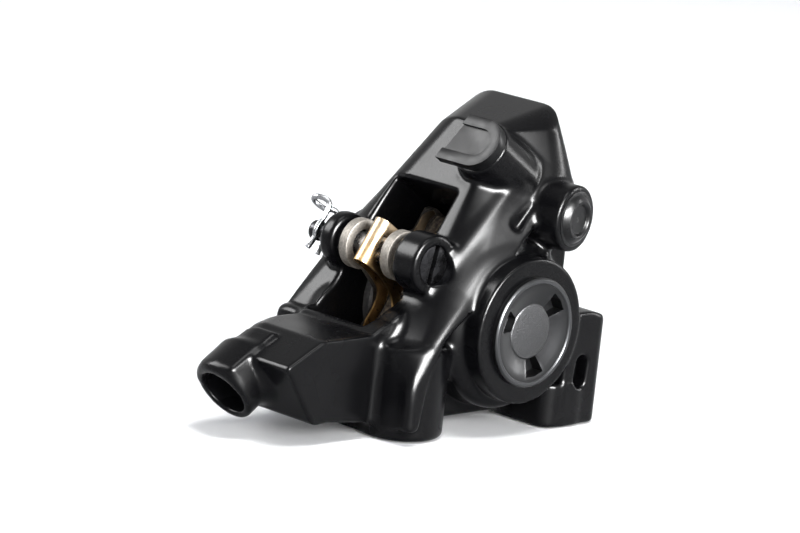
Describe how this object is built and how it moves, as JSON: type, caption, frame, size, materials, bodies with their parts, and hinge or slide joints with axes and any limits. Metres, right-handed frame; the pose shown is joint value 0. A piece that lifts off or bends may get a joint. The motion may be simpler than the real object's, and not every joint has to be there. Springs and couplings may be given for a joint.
{
  "type": "bicycle disc brake caliper",
  "caption": "Flat-mount hydraulic disc brake caliper for a road bicycle, with opposed pistons, sprung pads on an axle, a bore cap and capped bleed fittings.",
  "frame": {"origin": "on the mounting face, midway between the two mounting holes", "axes": "+X along the two mounting holes, towards the tall rear end; +Y inboard, across the bicycle towards the wheel; +Z away from the frame or adapter that the caliper is screwed to"},
  "size_m": [0.0678, 0.037, 0.05],
  "materials": {
    "paint": "satin dark paint",
    "cap_alloy": "grained satin",
    "rubber": "matt",
    "phenolic": "matt",
    "plate_steel": "blasted",
    "lining": "rough",
    "spring_steel": "polished, straw coloured",
    "steel": "polished",
    "cover_rubber": "satin",
    "cap_rubber": "satin"
  },
  "bodies": {
    "housing": {"caliper_body": "paint", "bore_cap": "cap_alloy", "bore_cap_seal": "rubber", "piston_seal_outboard": "rubber", "piston_seal_inboard": "rubber", "pad_spring": "spring_steel", "pad_axle": "steel", "snap_retainer": "steel", "bleed_nipple": "steel", "bleed_nipple_seal": "rubber", "gallery_plug": "steel"},
    "outboard_piston": {"piston_outboard": "phenolic"},
    "inboard_piston": {"piston_inboard": "phenolic"},
    "outboard_pad": {"pad_plate_outboard": "plate_steel", "pad_friction_outboard": "lining"},
    "inboard_pad": {"pad_plate_inboard": "plate_steel", "pad_friction_inboard": "lining"},
    "bleed_valve": {"bleed_screw": "steel", "bleed_screw_seal": "rubber"},
    "bleed_valve_cover": {"bleed_screw_cover": "cover_rubber"},
    "bleed_cap": {"bleed_nipple_cap": "cap_rubber"}
  },
  "joints": [
    {"name": "piston_outboard_stroke", "type": "slide", "parent": "housing", "child": "outboard_piston", "axis": [0, 1, 0], "range_m": [0, 0.0014], "deforming": ["pad_spring"]},
    {"name": "piston_inboard_stroke", "type": "slide", "parent": "housing", "child": "inboard_piston", "axis": [0, -1, 0], "range_m": [0, 0.0014]},
    {"name": "pad_outboard_travel", "type": "slide", "parent": "housing", "child": "outboard_pad", "axis": [0, 1, 0], "range_m": [0, 0.0014]},
    {"name": "pad_inboard_travel", "type": "slide", "parent": "housing", "child": "inboard_pad", "axis": [0, -1, 0], "range_m": [0, 0.0014]},
    {"name": "bleed_screw_turn", "type": "hinge", "parent": "housing", "child": "bleed_valve", "pos_m": [0.0096, -0.008, 0.0338], "axis": [0.1564, -0.9877, 0], "range_deg": [0, 180]},
    {"name": "bleed_cover_pull", "type": "slide", "parent": "housing", "child": "bleed_valve_cover", "axis": [0.1564, -0.9877, 0], "range_m": [0, 0.006]},
    {"name": "bleed_cap_pull", "type": "slide", "parent": "housing", "child": "bleed_cap", "axis": [-0.8387, 0, 0.5446], "range_m": [0, 0.006]}
  ],
  "couplings": [
    {"joint": "piston_inboard_stroke", "follows": "piston_outboard_stroke", "ratio": 1},
    {"joint": "pad_outboard_travel", "follows": "piston_outboard_stroke", "ratio": 1},
    {"joint": "pad_inboard_travel", "follows": "piston_outboard_stroke", "ratio": 1}
  ]
}
